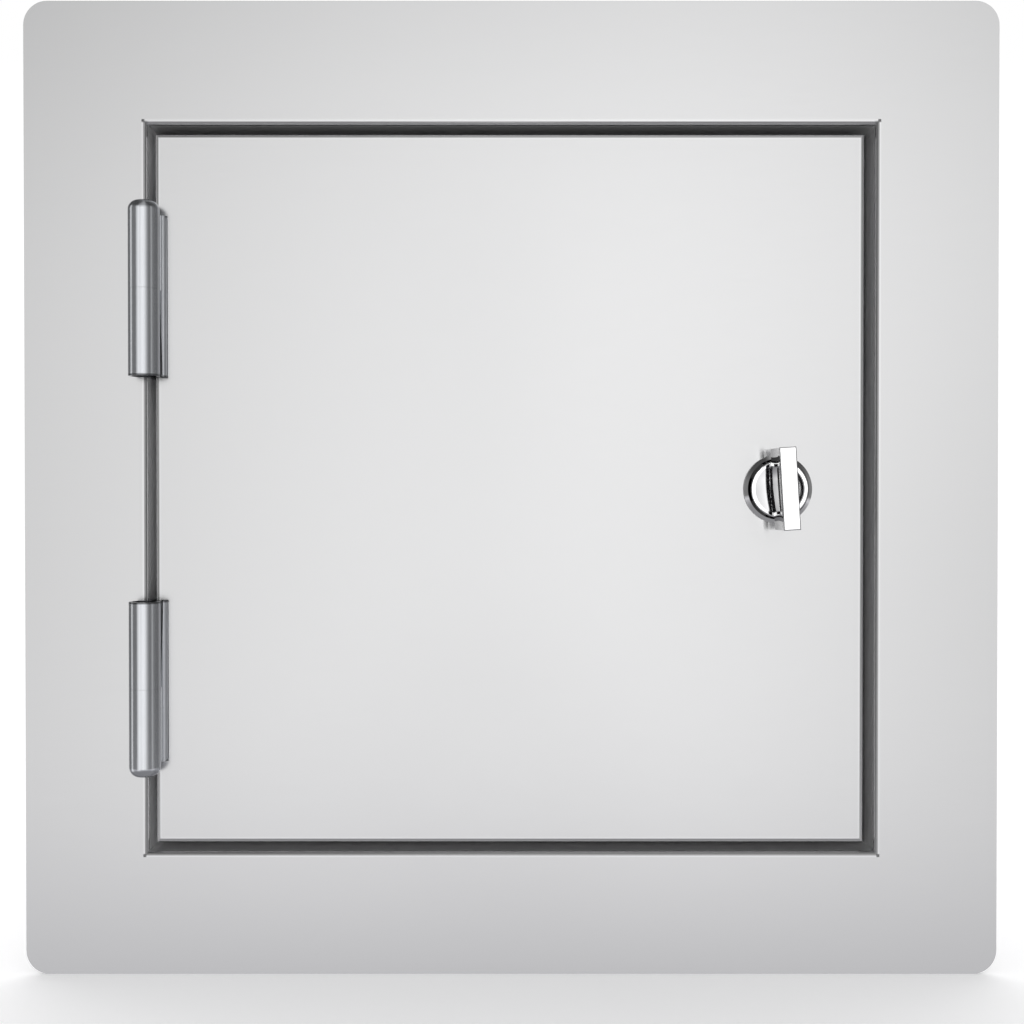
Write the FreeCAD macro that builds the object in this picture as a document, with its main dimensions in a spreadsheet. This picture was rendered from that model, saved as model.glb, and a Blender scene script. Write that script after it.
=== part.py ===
"""Utility access door: a folded frame, a flush door on two barrel hinges and a quarter-turn wing latch.

Millimetres, X to the right, Y into the wall, Z up. The origin is the centre of the opening, on the wall's
face that the back of the frame's flange lies on. The door is closed and the latch hangs released.
"""

import FreeCAD, Part
import math
import os
from types import SimpleNamespace

import Sketcher

# Driving dimensions: radii are named so, and every other value is a length, apart from the lean in degrees.
SIZES = {
    # Frame, folded from one sheet
    "frame_size": 304.8,
    "frame_corner_radius": 7.5,
    "frame_border": 37.35,
    "frame_sheet": 1.0,
    "frame_bend_radius": 1.2,
    "jamb_depth": 41.0,
    "corner_nick_radius": 0.5,
    "corner_nick_depth": 0.7,
    "mount_hole_radius": 2.25,
    "mount_hole_edge": 5.0,
    "mount_hole_pitch": 120.0,
    # Stop angles and seal in the opening
    "stop_leg": 12.0,
    "stop_sheet": 1.2,
    "stop_bend_radius": 0.4,
    "stop_foot": 11.0,
    "stop_rivet_pitch": 80.0,
    "mitre_gap": 0.15,
    "seal_thickness": 2.7,
    "seal_width": 9.5,
    "seal_inset": 1.0,
    "seal_lip_radius": 1.0,
    "seal_clearance": 0.3,
    # Door: outer skin and inner liner
    "door_gap": 2.9,
    "door_shift": 0.5,
    "door_sheet": 1.0,
    "door_bend_radius": 1.2,
    "door_depth": 18.0,
    "door_rear_flange": 19.0,
    "liner_sheet": 1.0,
    "liner_inset": 2.65,
    "service_hole_radius": 17.0,
    "liner_screw_edge": 14.0,
    "liner_screw_pitch": 120.0,
    "liner_screw_radius": 1.75,
    "liner_screw_length": 7.0,
    "liner_screw_head_radius": 3.5,
    "liner_screw_head_height": 2.2,
    "liner_screw_head_edge": 0.9,
    "liner_screw_recess_length": 3.6,
    "liner_screw_recess_width": 1.0,
    "liner_screw_recess_depth": 1.2,
    "screw_hole_clearance": 0.3,
    "thread_clearance": 0.05,
    # Rivets
    "rivet_radius": 1.6,
    "rivet_head_radius": 2.6,
    "rivet_head_height": 0.9,
    "rivet_head_edge": 0.2,
    "rivet_tail_radius": 2.3,
    "rivet_tail_length": 1.8,
    "rivet_tail_edge": 0.9,
    "rivet_clearance": 0.05,
    # Hinges
    "hinge_inset": 0.3,
    "hinge_front": 5.4,
    "hinge_corner": 21.85,
    "knuckle_radius": 4.8,
    "frame_knuckle_length": 26.4,
    "door_knuckle_length": 27.35,
    "knuckle_dome_radius": 3.0,
    "knuckle_edge_radius": 0.2,
    "knuckle_mouth_radius": 3.8,
    "knuckle_mouth_depth": 4.0,
    "knuckle_cap": 5.0,
    "hinge_washer_height": 0.5,
    "hinge_washer_inset": 0.02,
    "hinge_washer_gap": 0.05,
    "pin_radius": 2.5,
    "pin_clearance": 0.05,
    "pin_recess": 3.5,
    "pin_end_gap": 1.0,
    "pin_chamfer": 0.4,
    "frame_leaf_sheet": 1.2,
    "frame_leaf_front": 1.0,
    "frame_leaf_depth": 15.0,
    "frame_leaf_rivet_pitch": 20.0,
    "fin_sheet": 1.8,
    "fin_height": 2.2,
    "fin_slit": 0.4,
    "fin_taper": 0.9,
    "fin_setback": 4.0,
    "fin_edge_radius": 1.0,
    "fin_blend_radius": 0.5,
    "web_depth": 1.5,
    "foot_width": 25.0,
    "slot_clearance": 0.15,
    "stud_edge": 5.0,
    "stud_pitch": 30.0,
    "stud_radius": 2.0,
    "stud_length": 10.0,
    "stud_flange_radius": 2.75,
    "stud_flange_height": 0.8,
    "stud_clearance": 0.2,
    "stud_washer_radius": 4.5,
    "stud_washer_height": 0.8,
    "stud_nut_flats": 7.0,
    "stud_nut_height": 3.2,
    # Latch, fixed half
    "latch_backset": 27.1,
    "bezel_radius": 10.7,
    "bezel_height": 1.6,
    "bezel_rim": 0.3,
    "gasket_radius": 10.2,
    "gasket_height": 0.4,
    "barrel_radius": 8.0,
    "barrel_clearance": 0.2,
    "barrel_cam_gap": 0.3,
    "lock_washer_radius": 11.5,
    "lock_washer_height": 1.0,
    "latch_nut_flats": 22.0,
    "latch_nut_height": 5.0,
    # Latch, turning half
    "latch_lean": 3.4,
    "rotor_radius": 8.95,
    "rotor_clearance": 0.55,
    "rotor_seat": 0.8,
    "rotor_gap": 0.1,
    "rotor_height": 4.3,
    "rotor_edge_radius": 0.5,
    "cup_radius": 7.7,
    "cup_floor": 1.6,
    "cup_dish": 0.95,
    "wing_height": 20.8,
    "wing_length": 25.0,
    "wing_waist": 3.9,
    "wing_waist_height": 11.0,
    "wing_hollow_radius": 75.0,
    "wing_edge_radius": 0.4,
    "spindle_radius": 5.0,
    "spindle_clearance": 0.05,
    "ring_groove_depth": 0.9,
    "ring_groove_width": 1.2,
    "ring_station": 10.0,
    "drive_square": 7.0,
    "drive_clearance": 0.1,
    "drive_setback": 0.2,
    "cam_clearance": 0.5,
    "cam_sheet": 2.3,
    "cam_hub_radius": 8.0,
    "cam_width": 12.0,
    "cam_reach": 24.0,
    "cam_corner_radius": 2.5,
    "cam_washer_radius": 6.0,
    "cam_washer_height": 0.8,
    "cam_screw_radius": 2.0,
    "cam_screw_length": 10.0,
    "cam_screw_hole": 12.0,
    "cam_screw_head_radius": 3.6,
    "cam_screw_head_height": 2.4,
    "cam_screw_socket_flats": 3.0,
    "cam_screw_socket_depth": 1.5,
}

TOUCH = 1e-4  # how near a point lies to a place to count as on it
SIDES = {"bottom": 0, "left": 90, "top": 180, "right": 270}  # turn about Y from the bottom side
HINGES = {"upper": 1, "lower": -1}  # the lower hinge mirrors the upper one

doc = FreeCAD.newDocument("access_door")
sheet = doc.addObject("Spreadsheet::Sheet", "Sizes")
for row, (alias, size) in enumerate(SIZES.items(), 1):
    sheet.set(f"A{row}", alias)
    sheet.set(f"B{row}", str(size))
    sheet.setAlias(f"B{row}", alias)
doc.recompute()

nodes = []


class Dim:
    """A length: its present value, and the formula of sheet cells that gives it."""

    def __init__(self, value, text):
        self.value = value
        self.text = text

    def __neg__(self):
        return Dim(-self.value, f"(-{self.text})")

    def __add__(self, other):
        other = dim(other)
        return Dim(self.value + other.value, f"({self.text} + {other.text})")

    def __sub__(self, other):
        other = dim(other)
        return Dim(self.value - other.value, f"({self.text} - {other.text})")

    def __mul__(self, factor):
        factor = dim(factor)
        return Dim(self.value * factor.value, f"({self.text} * {factor.text})")

    def __truediv__(self, divisor):
        divisor = dim(divisor)
        return Dim(self.value / divisor.value, f"({self.text} / {divisor.text})")

    def root(self):
        return Dim(math.sqrt(self.value), f"sqrt({self.text})")


def dim(value):
    """A plain number as a length of its own."""
    return value if isinstance(value, Dim) else Dim(value, f"({value})")


s = SimpleNamespace(**{alias: Dim(size, f"Sizes.{alias}") for alias, size in SIZES.items()})
ZERO = dim(0.0)


# Outlines, drawn in a sketch with every corner held to the sheet


def loop(*points, bends=None):
    """A closed outline with straight sides, but for those that `bends` gives a radius by their number: inwards
    if it is positive, outwards if it is negative."""
    bends = {i: dim(radius) for i, radius in (bends or {}).items()}
    count = len(points)

    def draw(sketch):
        first = sketch.GeometryCount
        spots = [spot_at(x, y) for x, y in points]
        area = sum(spot.x * after.y - spot.y * after.x for spot, after in zip(spots, spots[1:] + spots[:1]))
        starts = [1] * count  # which end of each side its outline starts from
        for i, spot in enumerate(spots):
            after = spots[(i + 1) % count]
            side = Part.LineSegment(spot, after)
            if i in bends:
                side, starts[i] = bent(spot, after, bends[i].value, area > 0)
            sketch.addGeometry(side, False)
        for i in range(count):
            after = (i + 1) % count
            sketch.addConstraint(
                Sketcher.Constraint("Coincident", first + i, 3 - starts[i], first + after, starts[after]))
        for i, (x, y) in enumerate(points):
            hold(sketch, "DistanceX", (-1, 1, first + i, starts[i]), x)
            hold(sketch, "DistanceY", (-1, 1, first + i, starts[i]), y)
        for i, radius in bends.items():
            hold(sketch, "Radius", (first + i,), radius if radius.value > 0 else -radius)

    return draw


def bent(spot, after, radius, anticlockwise):
    """The arc between two corners of an outline, and which of its ends lies at the first one."""
    chord = after - spot
    outward = FreeCAD.Vector(chord.y, -chord.x, 0).normalize()
    if not anticlockwise:
        outward = -outward
    reach = math.sqrt(radius * radius - chord.Length ** 2 / 4)
    centre = (spot + after) / 2 + outward * math.copysign(reach, radius)
    circle = Part.Circle(centre, FreeCAD.Vector(0, 0, 1), abs(radius))
    if (radius < 0) == anticlockwise:
        return Part.ArcOfCircle(circle, circle.parameter(spot), circle.parameter(after)), 1
    return Part.ArcOfCircle(circle, circle.parameter(after), circle.parameter(spot)), 2


def dome(radius, height):
    """Radius of a ball whose cap is so wide and so high."""
    return (radius * radius + height * height) / (height * 2)


def spot_at(x, y):
    return FreeCAD.Vector(dim(x).value, dim(y).value, 0)


def block(x0, x1, y0, y1):
    """An upright rectangle."""
    return loop((x0, y0), (x1, y0), (x1, y1), (x0, y1))


def square(half):
    """A square about the sketch's origin."""
    return block(-half, half, -half, half)


def disc(x, y, radius):
    """A circle."""

    def draw(sketch):
        first = sketch.GeometryCount
        sketch.addGeometry(Part.Circle(spot_at(x, y), FreeCAD.Vector(0, 0, 1), radius.value), False)
        hold(sketch, "DistanceX", (-1, 1, first, 3), x)
        hold(sketch, "DistanceY", (-1, 1, first, 3), y)
        hold(sketch, "Radius", (first,), radius)

    return draw


def hexagon(flats):
    """A hexagon about the sketch's origin, by its width across flats."""
    corner = flats / math.sqrt(3)
    angles = [math.radians(60 * i) for i in range(6)]
    return loop(*[(corner * math.cos(a), corner * math.sin(a)) for a in angles])


def cross(x, y, length, width):
    """A cross with four equal arms."""
    a, b = width / 2, length / 2
    corners = [(a, a), (a, b), (-a, b), (-a, a), (-b, a), (-b, -a), (-a, -a), (-a, -b), (a, -b), (a, -a), (b, -a),
               (b, a)]
    return loop(*[(dim(x) + i, dim(y) + j) for i, j in corners])


def hold(sketch, kind, where, length):
    """One dimension of a sketch, bound to the sheet."""
    length = dim(length)
    index = sketch.addConstraint(Sketcher.Constraint(kind, *where, length.value))
    sketch.setExpression(f"Constraints[{index}]", length.text)


# Bodies and their features


def new_body(label, group=False):
    """A sub-part, or a group of equal separate fasteners."""
    body = doc.addObject("PartDesign::Body", label)
    body.Label = label
    body.AllowCompound = group
    nodes.append(body)
    return body


def origin(body, role):
    """One of the body's own planes or axes."""
    return next(feature for feature in body.Origin.OriginFeatures if feature.Role == role)


def sketch_on(body, role, start, shift=(ZERO, ZERO)):
    """A sketch parallel to one of the body's planes, `start` along the axis square to it."""
    sketch = body.newObject("Sketcher::SketchObject", "Outline")
    sketch.AttachmentSupport = (origin(body, role), [""])
    sketch.MapMode = "FlatFace"
    lift = -start if role == "XZ_Plane" else start  # that plane faces the front
    for axis, length in zip("xyz", (*shift, lift)):
        sketch.setExpression(f"AttachmentOffset.Base.{axis}", length.text)
    return sketch


def extrude(kind, body, role, start, end, *shapes):
    """Adds (Pad) or cuts (Pocket) the shapes between two stations along the axis square to a plane."""
    before = 0.0 if kind == "Pad" else body.Shape.Volume
    sketch = sketch_on(body, role, start)
    for draw in shapes:
        draw(sketch)
    feature = body.newObject(f"PartDesign::{kind}", kind)
    feature.Profile = sketch
    feature.setExpression("Length", (end - start).text)
    faces_front = role == "XZ_Plane"
    feature.Reversed = faces_front if kind == "Pad" else not faces_front
    doc.recompute()
    if kind == "Pocket" and body.Shape.Volume > before - TOUCH:
        raise RuntimeError(f"{body.Label}: a cut removed nothing")
    return feature


def pad(body, role, start, end, *shapes):
    return extrude("Pad", body, role, start, end, *shapes)


def cut(body, role, start, end, *shapes):
    return extrude("Pocket", body, role, start, end, *shapes)


def turned(body, *shapes, role="XZ_Plane", axis="V_Axis", start=ZERO, shift=(ZERO, ZERO), kind="Revolution"):
    """A piece turned about an axis of its sketch, the upright one unless another is named; or a groove."""
    sketch = sketch_on(body, role, start, shift)
    for draw in shapes:
        draw(sketch)
    feature = body.newObject(f"PartDesign::{kind}", "Turned")
    feature.Profile = sketch
    feature.ReferenceAxis = (sketch, [axis])
    feature.Angle = 360
    doc.recompute()
    return feature


def hex_nut(body, low, high, flats, bore):
    """A hexagon nut about the body's Z axis, with the corners of both its faces turned off."""
    nut = pad(body, "XY_Plane", low, high, hexagon(flats), disc(0, 0, bore))
    flat = flats / 2
    corner = flats / math.sqrt(3)
    drop = (corner - flat) * math.tan(math.radians(30))
    past = corner + (corner - flat)
    corners = [loop((flat, face), (past, face), (past, face + drop * 2 * way))
               for face, way in ((low, 1), (high, -1))]
    return [nut, turned(body, *corners, kind="Groove")]


def ease(body, radius, chosen, kind="Fillet"):
    """Rounds or chamfers the chosen edges of the body so far."""
    base = body.Tip
    names = [f"Edge{i}" for i, edge in enumerate(base.Shape.Edges, 1) if chosen(edge)]
    if not names:
        raise RuntimeError(f"{body.Label}: no edge to ease")
    feature = body.newObject(f"PartDesign::{kind}", "Eased")
    feature.Base = (base, names)
    feature.setExpression("Radius" if kind == "Fillet" else "Size", radius.text)
    doc.recompute()


def close(a, b):
    """Whether a number lies on a length."""
    return abs(a - dim(b).value) < TOUCH


def rim(half, y):
    """Edges on a square of this half width, round the Y axis, at a station along it."""

    def test(edge):
        spot = edge.CenterOfMass
        return close(spot.y, y) and close(max(abs(spot.x), abs(spot.z)), half)

    return test


def straight(edge):
    return edge.Curve.TypeId == "Part::GeomLine"


def row(body, features, role, length, count):
    """Copies of features in a row along one of the body's axes."""
    pattern = body.newObject("PartDesign::LinearPattern", "Row")
    set_row(pattern, body, role, length, count)
    pattern.Originals = features
    body.Tip = pattern
    doc.recompute()


def set_row(pattern, body, role, length, count):
    pattern.Direction = (origin(body, role), [""])
    pattern.setExpression("Length", length.text)
    pattern.Occurrences = count


def row_on_each_side(body, features, length, count):
    """A row along X, repeated on the four sides of the opening."""
    pattern = body.newObject("PartDesign::MultiTransform", "Rows")
    pattern.Originals = features
    along = body.newObject("PartDesign::LinearPattern", "Row")
    set_row(along, body, "X_Axis", length, count)
    around = body.newObject("PartDesign::PolarPattern", "Sides")
    around.Axis = (origin(body, "Y_Axis"), [""])
    around.Angle = 360
    around.Occurrences = len(SIDES)
    pattern.Transformations = [along, around]
    body.Tip = pattern
    doc.recompute()


def place(body, spot, *turns):
    """Puts a body's origin at a spot, after turning it by (axis, degrees) pairs, the last one first."""
    rotation = FreeCAD.Rotation()
    for axis, degrees in turns:
        rotation = rotation.multiply(FreeCAD.Rotation(FreeCAD.Vector(*axis), degrees))
    body.Placement = FreeCAD.Placement(FreeCAD.Vector(), rotation)
    for axis, length in zip("xyz", spot):
        body.setExpression(f"Placement.Base.{axis}", dim(length).text)
    doc.recompute()


X, Y, Z = (1, 0, 0), (0, 1, 0), (0, 0, 1)


# Places shared by the sub-parts

FACE = -s.frame_sheet  # front of the flange and of the door
JAMB = s.frame_size / 2 - s.frame_border - s.frame_bend_radius  # half the way between the jambs
DOOR = JAMB - s.door_gap  # half the door's width
DOOR_X = -s.door_shift  # the door hangs a little to the left
DOOR_INSIDE = FACE + s.door_sheet
DOOR_BACK = FACE + s.door_depth
LINER_BACK = DOOR_BACK + s.liner_sheet
STOP_FRONT = LINER_BACK + s.seal_clearance + s.seal_thickness
STOP_BACK = STOP_FRONT + s.stop_sheet
MOUNT_HOLE = s.jamb_depth - s.mount_hole_edge
STOP_RIVET = STOP_BACK + (s.stop_foot - s.stop_sheet) / 2
LINER_SCREW = DOOR - s.liner_screw_edge

HINGE_X = s.hinge_inset - JAMB
HINGE_Y = FACE - s.hinge_front
HINGE_OUTER_END = DOOR - s.hinge_corner
DOOR_KNUCKLE = HINGE_OUTER_END - s.door_knuckle_length
FRAME_KNUCKLE = DOOR_KNUCKLE - s.hinge_washer_height
HINGE_INNER_END = FRAME_KNUCKLE - s.frame_knuckle_length
HINGE_MIDDLE = (HINGE_INNER_END + HINGE_OUTER_END) / 2
FIN_END = HINGE_OUTER_END - s.fin_setback
LEAF_RIVET = (s.frame_leaf_front + s.frame_leaf_depth) / 2
# Across the hinge, from its axis
FIN_FRONT = s.hinge_front - s.fin_height
SWEEP = s.knuckle_radius + s.fin_slit  # what turns past a knuckle stays outside this radius
FIN_LEFT = (SWEEP * SWEEP - FIN_FRONT * FIN_FRONT).root()
FIN_RIGHT = FIN_LEFT + s.fin_sheet
FOOT_EDGE = FIN_RIGHT + s.foot_width
STUD_X = FOOT_EDGE - s.stud_edge
WALL = s.hinge_front + s.frame_sheet  # the wall's face, behind the axis
FOOT_FRONT = s.hinge_front + s.door_sheet
FOOT_BACK = FOOT_FRONT + s.fin_sheet

LATCH_X = DOOR_X + DOOR - s.latch_backset
# Along the latch, forwards from the door's face
CAM_FRONT = FACE - STOP_BACK - s.cam_clearance
CAM_BACK = CAM_FRONT - s.cam_sheet
NUT_FRONT = -s.door_sheet - s.lock_washer_height


def span(side, near, far):
    """Two stations along Z, mirrored for a lower hinge, lowest first."""
    return (near, far) if side > 0 else (-far, -near)


# Frame


def frame():
    """Flange and jambs, folded from one sheet and closed at the corners."""
    body = new_body("frame")
    half = s.frame_size / 2
    pad(body, "XZ_Plane", FACE, ZERO, square(half))
    ease(body, s.frame_corner_radius, lambda edge: close(abs(edge.CenterOfMass.x), half)
         and close(abs(edge.CenterOfMass.z), half))
    pad(body, "XZ_Plane", ZERO, s.jamb_depth, square(JAMB + s.frame_sheet))
    cut(body, "XZ_Plane", FACE, s.jamb_depth, square(JAMB))
    ease(body, s.frame_bend_radius, rim(JAMB, FACE))
    ease(body, s.frame_bend_radius - s.frame_sheet, rim(JAMB + s.frame_sheet, ZERO))
    corner = JAMB + s.frame_bend_radius
    nicks = [disc(corner * x, corner * z, s.corner_nick_radius) for x in (-1, 1) for z in (-1, 1)]
    cut(body, "XZ_Plane", FACE, FACE + s.corner_nick_depth, *nicks)
    jamb_holes(body)
    return body


def jamb_holes(body):
    """Mounting holes at left and right, and the holes of the hinge and stop rivets."""
    outside = JAMB + s.frame_sheet
    hole = s.rivet_radius + s.rivet_clearance
    stops = [s.stop_rivet_pitch * k for k in (-1, 0, 1)]
    mounts = [disc(MOUNT_HOLE, s.mount_hole_pitch / 2 * k, s.mount_hole_radius) for k in (-1, 1)]
    cut(body, "YZ_Plane", -outside, outside, *mounts, *[disc(STOP_RIVET, z, hole) for z in stops])
    cut(body, "XY_Plane", -outside, outside, *[disc(x, STOP_RIVET, hole) for x in stops])
    hinges = [disc(LEAF_RIVET, z, hole) for side in HINGES.values() for z in leaf_rivets(side)]
    cut(body, "YZ_Plane", -outside, -JAMB, *hinges)


def leaf_rivets(side):
    """Heights of one hinge's rivets."""
    return [HINGE_MIDDLE * side + s.frame_leaf_rivet_pitch * k for k in (-1, 0, 1)]


# Stops and seal, made for the bottom side and turned to the others


def mitred(body, start, end, near, far, shape):
    """A strip along X whose ends are cut to a mitre; `near` is the longer edge."""
    pad(body, "YZ_Plane", -JAMB, JAMB, shape)
    for k in (-1, 1):
        long_end = (near + s.mitre_gap) * -k
        short_end = (far + s.mitre_gap) * -k
        cut(body, "XZ_Plane", start, end,
            loop((long_end, near), (JAMB * k, near), (JAMB * k, far), (short_end, far)))


def stop(side):
    """Angle that the door closes against."""
    body = new_body(f"stop_{side}")
    inner = s.stop_leg - JAMB
    seat = s.stop_sheet - JAMB
    back = STOP_FRONT + s.stop_foot
    bend = s.stop_bend_radius
    outer = bend + s.stop_sheet
    angle = loop((STOP_FRONT, outer - JAMB), (STOP_FRONT + outer, -JAMB), (back, -JAMB), (back, seat),
                 (STOP_BACK + bend, seat), (STOP_BACK, seat + bend), (STOP_BACK, inner), (STOP_FRONT, inner),
                 bends={0: -outer, 4: bend})
    mitred(body, STOP_FRONT, back, -JAMB, inner, angle)
    holes = [disc(s.stop_rivet_pitch * k, STOP_RIVET, s.rivet_radius + s.rivet_clearance) for k in (-1, 0, 1)]
    cut(body, "XY_Plane", -JAMB, seat, *holes)
    place(body, (ZERO, ZERO, ZERO), (Y, SIDES[side]))


def seal(side):
    """Rubber strip on the stop, just clear of the closed door."""
    body = new_body(f"seal_{side}")
    front = STOP_FRONT - s.seal_thickness
    near = s.seal_inset - JAMB
    far = near + s.seal_width
    mitred(body, front, STOP_FRONT, near, far, block(front, STOP_FRONT, near, far))
    ease(body, s.seal_lip_radius, lambda edge: close(edge.CenterOfMass.y, front)
         and (close(edge.CenterOfMass.z, near) or close(edge.CenterOfMass.z, far)))
    place(body, (ZERO, ZERO, ZERO), (Y, SIDES[side]))


def stop_rivets():
    """Rivets through the stops and jambs, three to a side."""
    body = new_body("stop_rivets", group=True)
    head = s.stop_sheet - JAMB
    outside = -JAMB - s.frame_sheet
    tail = outside - s.rivet_tail_length
    top = head + s.rivet_head_height
    shape = loop((0, top), (s.rivet_head_radius, head + s.rivet_head_edge), (s.rivet_head_radius, head),
                 (s.rivet_radius, head), (s.rivet_radius, outside), (s.rivet_tail_radius, outside),
                 (s.rivet_tail_radius, outside - s.rivet_tail_edge), (0, tail),
                 bends={0: -dome(s.rivet_head_radius, s.rivet_head_height - s.rivet_head_edge),
                        6: -dome(s.rivet_tail_radius, s.rivet_tail_length - s.rivet_tail_edge)})
    rivet = turned(body, shape, start=STOP_RIVET, shift=(-s.stop_rivet_pitch, ZERO))
    row_on_each_side(body, [rivet], s.stop_rivet_pitch * 2, 3)


# Door, each body with its origin at the middle of the door


def screw_holes(radius):
    """Holes of the liner's screws, two to a side."""
    half = s.liner_screw_pitch / 2
    along = [(half * i, LINER_SCREW * j) for i in (-1, 1) for j in (-1, 1)]
    return [disc(x, z, radius) for a, b in along for x, z in ((a, b), (b, a))]


def on_door(body):
    place(body, (DOOR_X, ZERO, ZERO))


def door_skin():
    """Folded pan with an inward flange round its back."""
    body = new_body("door_skin")
    inside = DOOR - s.door_sheet
    opening = DOOR - s.door_rear_flange
    flange = DOOR_BACK - s.door_sheet
    pad(body, "XZ_Plane", FACE, DOOR_BACK, square(DOOR))
    cut(body, "XZ_Plane", DOOR_INSIDE, flange, square(inside))
    cut(body, "XZ_Plane", flange, DOOR_BACK, square(opening))
    ease(body, s.door_bend_radius, lambda edge: rim(DOOR, FACE)(edge) or rim(DOOR, DOOR_BACK)(edge))
    ease(body, s.door_bend_radius - s.door_sheet,
         lambda edge: rim(inside, DOOR_INSIDE)(edge) or rim(inside, flange)(edge))
    slots = []
    left, right = FIN_LEFT - s.slot_clearance, FIN_RIGHT + s.slot_clearance
    for side in HINGES.values():
        low, high = span(side, HINGE_INNER_END - s.slot_clearance, FIN_END + s.slot_clearance)
        slots.append(block(HINGE_X - DOOR_X + left, HINGE_X - DOOR_X + right, low, high))
    barrel = disc(LATCH_X - DOOR_X, 0, s.barrel_radius + s.barrel_clearance)
    cut(body, "XZ_Plane", FACE, DOOR_INSIDE, barrel, *slots)
    cut(body, "XZ_Plane", flange, DOOR_BACK, disc(LATCH_X - DOOR_X, 0, s.service_hole_radius))
    cut(body, "XZ_Plane", flange, DOOR_BACK, *screw_holes(s.liner_screw_radius + s.thread_clearance))
    on_door(body)


def door_liner():
    """Flat panel that closes the back of the door, with a hole to reach the latch's nut."""
    body = new_body("door_liner")
    pad(body, "XZ_Plane", DOOR_BACK, LINER_BACK, square(DOOR - s.liner_inset))
    cut(body, "XZ_Plane", DOOR_BACK, LINER_BACK, disc(LATCH_X - DOOR_X, 0, s.service_hole_radius),
        *screw_holes(s.liner_screw_radius + s.screw_hole_clearance))
    on_door(body)


def liner_screws():
    """Pan-head screws that hold the liner, two to a side."""
    body = new_body("liner_screws", group=True)
    head = LINER_BACK + s.liner_screw_head_height
    point = LINER_BACK - s.liner_screw_length
    edge = LINER_BACK + s.liner_screw_head_edge
    shape = loop((0, point), (s.liner_screw_radius, point), (s.liner_screw_radius, LINER_BACK),
                 (s.liner_screw_head_radius, LINER_BACK), (s.liner_screw_head_radius, edge), (0, head),
                 bends={4: -dome(s.liner_screw_head_radius, s.liner_screw_head_height - s.liner_screw_head_edge)})
    x = -s.liner_screw_pitch / 2
    screw = turned(body, shape, role="XY_Plane", start=LINER_SCREW, shift=(x, ZERO))
    recess = cut(body, "XZ_Plane", head - s.liner_screw_recess_depth, head,
                 cross(x, LINER_SCREW, s.liner_screw_recess_length, s.liner_screw_recess_width))
    row_on_each_side(body, [screw, recess], s.liner_screw_pitch, 2)
    on_door(body)


# Hinges, each body with its origin on the pin's axis


def on_hinge(body):
    place(body, (HINGE_X, HINGE_Y, ZERO))


def hinge_frame_leaf(name, side):
    """Open inner knuckle, with a leaf on the jamb."""
    body = new_body(f"{name}_hinge_frame_leaf")
    left = -s.hinge_inset
    right = left + s.frame_leaf_sheet
    front = WALL + s.frame_leaf_front
    low, high = span(side, HINGE_INNER_END, FRAME_KNUCKLE)
    pad(body, "XY_Plane", low, high, disc(0, 0, s.knuckle_radius))
    ease(body, s.knuckle_edge_radius, lambda edge: not straight(edge)
         and close(edge.CenterOfMass.z, HINGE_INNER_END * side))
    pad(body, "XY_Plane", low, high, block(left, right, ZERO, front))
    pad(body, "XY_Plane", *span(side, HINGE_INNER_END, HINGE_OUTER_END),
        block(left, right, front, WALL + s.frame_leaf_depth))
    cut(body, "XY_Plane", low, high, disc(0, 0, s.pin_radius))
    mouth = span(side, HINGE_INNER_END, HINGE_INNER_END + s.knuckle_mouth_depth)
    cut(body, "XY_Plane", *mouth, disc(0, 0, s.knuckle_mouth_radius))
    holes = [disc(WALL + LEAF_RIVET, z, s.rivet_radius + s.rivet_clearance) for z in leaf_rivets(side)]
    cut(body, "YZ_Plane", left, right, *holes)
    ease(body, s.rivet_head_radius - s.rivet_radius, lambda edge: not straight(edge)
         and close(edge.CenterOfMass.x, right) and close(edge.CenterOfMass.y, WALL + LEAF_RIVET), kind="Chamfer")
    on_hinge(body)


def hinge_rivets(name, side):
    """Flush rivets that hold the frame leaf on the jamb."""
    body = new_body(f"{name}_hinge_rivets", group=True)
    head = s.frame_leaf_sheet - s.hinge_inset
    cone = head - s.rivet_head_radius + s.rivet_radius
    outside = -s.hinge_inset - s.frame_sheet
    tail = outside - s.rivet_tail_length
    shape = loop((head, 0), (head, s.rivet_head_radius), (cone, s.rivet_radius), (outside, s.rivet_radius),
                 (outside, s.rivet_tail_radius), (outside - s.rivet_tail_edge, s.rivet_tail_radius), (tail, 0),
                 bends={5: -dome(s.rivet_tail_radius, s.rivet_tail_length - s.rivet_tail_edge)})
    rivet = turned(body, shape, role="XY_Plane", axis="H_Axis", start=leaf_rivets(side)[0],
                   shift=(ZERO, WALL + LEAF_RIVET))
    row(body, [rivet], "Z_Axis", s.frame_leaf_rivet_pitch * 2, 3)
    on_hinge(body)


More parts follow.
